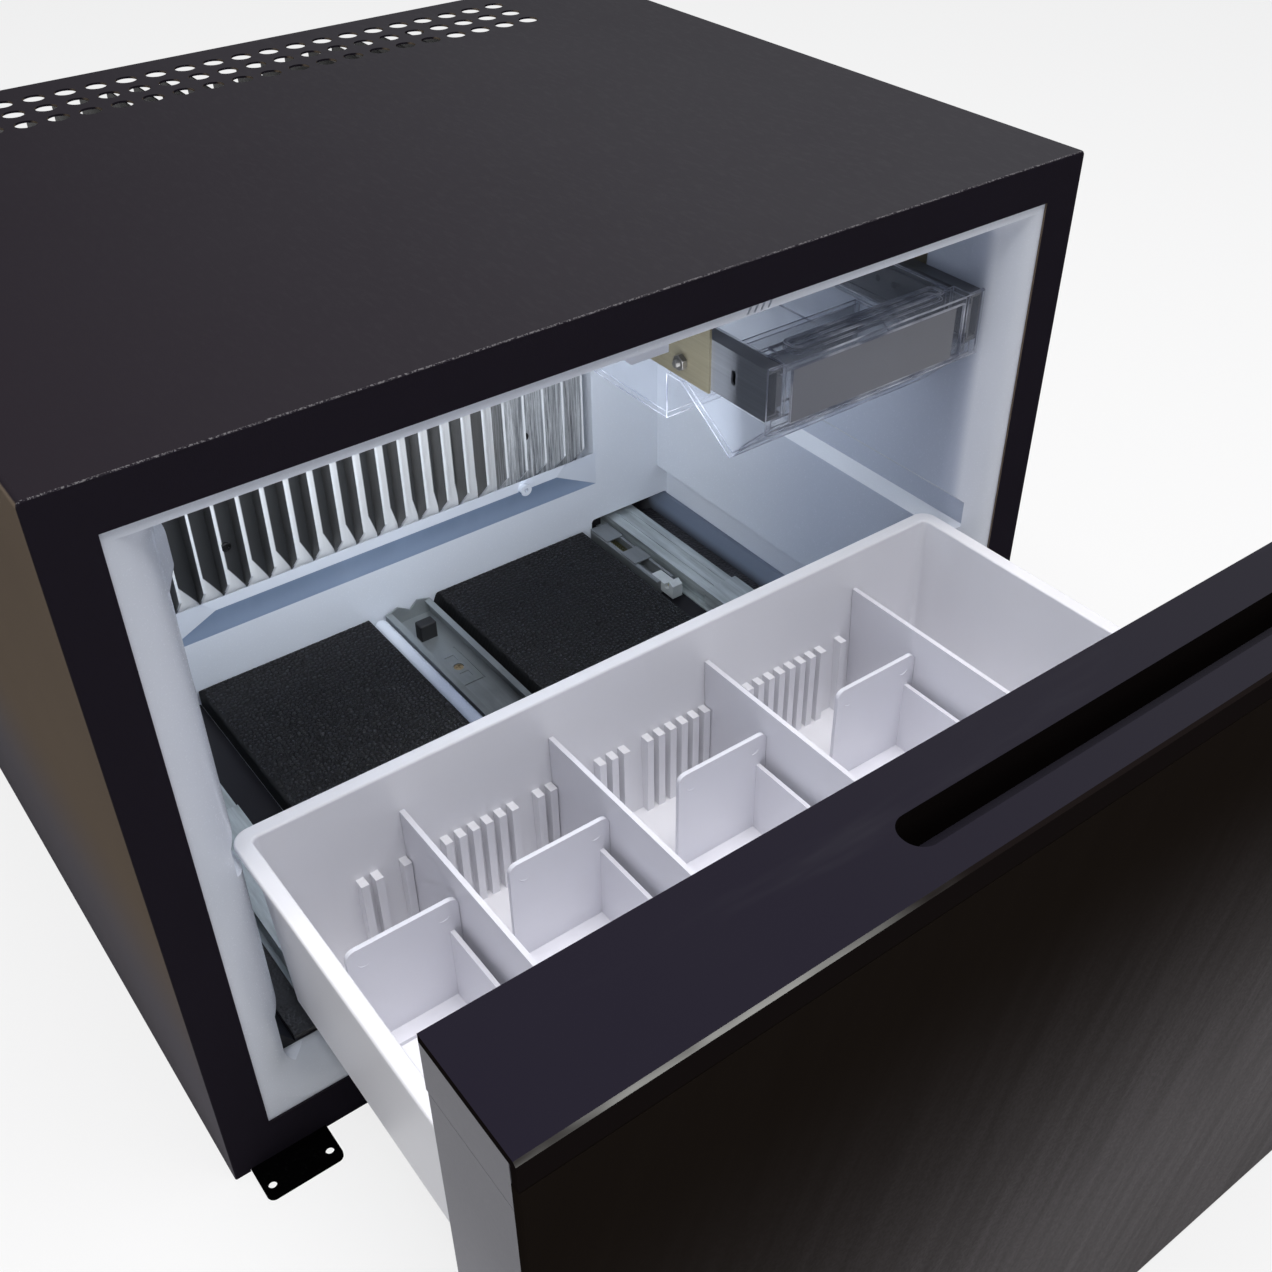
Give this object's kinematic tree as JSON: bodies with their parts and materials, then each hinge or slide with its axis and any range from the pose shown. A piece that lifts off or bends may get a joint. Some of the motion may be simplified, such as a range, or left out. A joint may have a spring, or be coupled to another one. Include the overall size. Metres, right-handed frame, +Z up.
{
  "type": "drawer minibar fridge",
  "caption": "Drawer minibar refrigerator with a vented cabinet, white liner, finned evaporator, sliding insulated front, divided basket and a clear snack tray.",
  "frame": {"origin": "centre of the cabinet's underside, on the plane of its bottom sheet", "axes": "+X to the right seen from the front, +Y to the back, +Z up; the drawer opens toward -Y"},
  "size_m": [0.56, 0.775, 0.42],
  "materials": {
    "casing_paint": "dark charcoal powder coat, satin",
    "cap_plastic": "dark charcoal, semi-gloss",
    "door_panel": "brown-black laminate film, semi-gloss",
    "door_side": "light grey, matt",
    "liner_white": "white polystyrene, semi-gloss",
    "basket_white": "white moulding, satin",
    "divider_white": "white moulding, slightly milky",
    "door_liner_white": "white, semi-gloss",
    "gasket_rubber": "black, matt",
    "foam": "rigid foam",
    "back_steel": "galvanised",
    "fin_aluminium": "mill finish",
    "pad_black": "black, leather grain",
    "slide_zinc": "zinc plated",
    "softclose_grey": "grey moulding",
    "spring_steel": "oiled spring wire",
    "rail_steel": "stainless sheet",
    "screw_steel": "zinc plated",
    "clear_plastic": "clear moulding",
    "unit_black": "black lacquer, matt",
    "control_black": "black, matt"
  },
  "bodies": {
    "cabinet": {"outer_casing": "casing_paint", "bottom_plate": "casing_paint", "fixing_bracket_left": "casing_paint", "fixing_bracket_right": "casing_paint", "inner_liner": "liner_white", "foam_insulation": "foam", "back_plate": "back_steel", "evaporator_fins": "fin_aluminium", "drip_gutter": "liner_white", "ceiling_housing": "liner_white", "floor_pad_left": "pad_black", "floor_pad_right": "pad_black", "side_tray_left": "pad_black", "side_tray_right": "pad_black", "side_pads": "pad_black", "slide_fixed_left": "slide_zinc", "slide_fixed_right": "slide_zinc", "slide_fixed_centre": "slide_zinc", "slide_stop": "gasket_rubber", "softclose_housing": "slide_zinc", "softclose_spring": "spring_steel", "tray_bracket_left": "rail_steel", "tray_bracket_right": "rail_steel", "tray_rail_left": "rail_steel", "tray_rail_right": "rail_steel", "tray_bolts": "screw_steel", "boiler_jacket": "unit_black", "condenser_tube": "unit_black", "condenser_fins": "unit_black", "absorber": "unit_black", "control_box": "control_black", "mains_inlet": "control_black", "fixing_screws": "screw_steel"},
    "softclose_catch": {"softclose_catch": "softclose_grey"},
    "slide_middles": {"slide_middle_left": "slide_zinc", "slide_middle_right": "slide_zinc", "slide_middle_centre": "slide_zinc"},
    "drawer": {"slide_drawer_left": "slide_zinc", "slide_drawer_right": "slide_zinc", "slide_drawer_centre": "slide_zinc", "door_top_cap": "cap_plastic", "handle_housing": "door_side", "door_shell": "door_side", "door_front_panel": "door_panel", "door_liner": "door_liner_white", "door_gasket": "gasket_rubber", "basket": "basket_white"},
    "snack_tray": {"snack_tray": "clear_plastic", "tray_front": "clear_plastic", "tray_panel": "clear_plastic", "tray_runner_left": "rail_steel", "tray_runner_right": "rail_steel"},
    "divider_1": {"divider_1": "divider_white"},
    "separator_1": {"separator_1": "divider_white"},
    "divider_2": {"divider_2": "divider_white"},
    "separator_2": {"separator_2": "divider_white"},
    "divider_3": {"divider_3": "divider_white"},
    "separator_3": {"separator_3": "divider_white"},
    "divider_4": {"divider_4": "divider_white"},
    "separator_4": {"separator_4": "divider_white"}
  },
  "joints": [
    {"name": "drawer_slide", "type": "slide", "parent": "cabinet", "child": "drawer", "axis": [0, -1, 0], "range_m": [-0.2665, 0.02]},
    {"name": "slide_middles_slide", "type": "slide", "parent": "cabinet", "child": "slide_middles", "axis": [0, -1, 0], "range_m": [-0.13325, 0.01]},
    {"name": "softclose_catch_slide", "type": "slide", "parent": "cabinet", "child": "softclose_catch", "axis": [0, 1, 0], "range_m": [0, 0.034]},
    {"name": "snack_tray_slide", "type": "slide", "parent": "cabinet", "child": "snack_tray", "axis": [0, -1, 0], "range_m": [0, 0.15]},
    {"name": "divider_1_lift", "type": "slide", "parent": "drawer", "child": "divider_1", "axis": [0, 0, 1], "range_m": [0, 0.1]},
    {"name": "separator_1_lift", "type": "slide", "parent": "drawer", "child": "separator_1", "axis": [0, 0, 1], "range_m": [0, 0.1]},
    {"name": "divider_2_lift", "type": "slide", "parent": "drawer", "child": "divider_2", "axis": [0, 0, 1], "range_m": [0, 0.1]},
    {"name": "separator_2_lift", "type": "slide", "parent": "drawer", "child": "separator_2", "axis": [0, 0, 1], "range_m": [0, 0.1]},
    {"name": "divider_3_lift", "type": "slide", "parent": "drawer", "child": "divider_3", "axis": [0, 0, 1], "range_m": [0, 0.1]},
    {"name": "separator_3_lift", "type": "slide", "parent": "drawer", "child": "separator_3", "axis": [0, 0, 1], "range_m": [0, 0.1]},
    {"name": "divider_4_lift", "type": "slide", "parent": "drawer", "child": "divider_4", "axis": [0, 0, 1], "range_m": [0, 0.1]},
    {"name": "separator_4_lift", "type": "slide", "parent": "drawer", "child": "separator_4", "axis": [0, 0, 1], "range_m": [0, 0.1]}
  ],
  "couplings": [
    {"joint": "slide_middles_slide", "follows": "drawer_slide", "ratio": 0.5}
  ]
}
